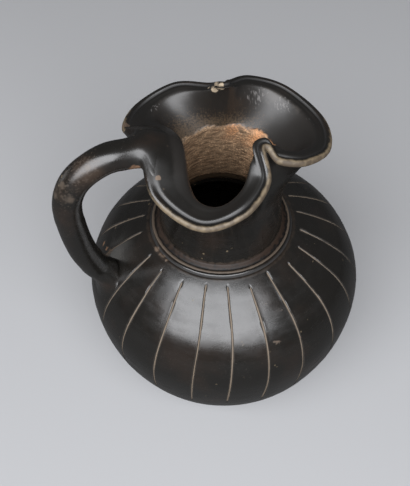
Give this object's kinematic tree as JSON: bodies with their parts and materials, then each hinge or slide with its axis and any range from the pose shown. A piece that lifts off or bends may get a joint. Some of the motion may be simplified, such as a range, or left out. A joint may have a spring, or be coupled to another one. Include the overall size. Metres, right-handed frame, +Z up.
{
  "type": "trefoil-mouthed pouring jug",
  "caption": "Black fired-clay pouring jug: round belly with incised strokes, ringed neck, mouth pinched into lobes, loop handle.",
  "frame": {"origin": "centre of the foot ring's underside, on the surface that the jug stands on", "axes": "+Z up along the axis of the belly and neck; +X towards the pouring spout; the handle is on the -X side"},
  "size_m": [0.1382, 0.13, 0.171],
  "materials": {
    "foot_clay": "dull black fired clay, worn to grey-brown where it stands",
    "belly_clay": "burnished brown-black fired clay with a satin sheen",
    "ring_clay": "burnished black fired clay, edge worn pale",
    "mouth_clay": "burnished black fired clay, lip worn to tan, orange-brown crust inside the neck",
    "handle_clay": "burnished black fired clay with rubbed tan specks"
  },
  "bodies": {
    "root": {"foot_ring": "foot_clay", "body": "belly_clay", "neck_ring": "ring_clay", "neck_and_mouth": "mouth_clay", "handle": "handle_clay", "handle_collar": "handle_clay"}
  },
  "joints": []
}
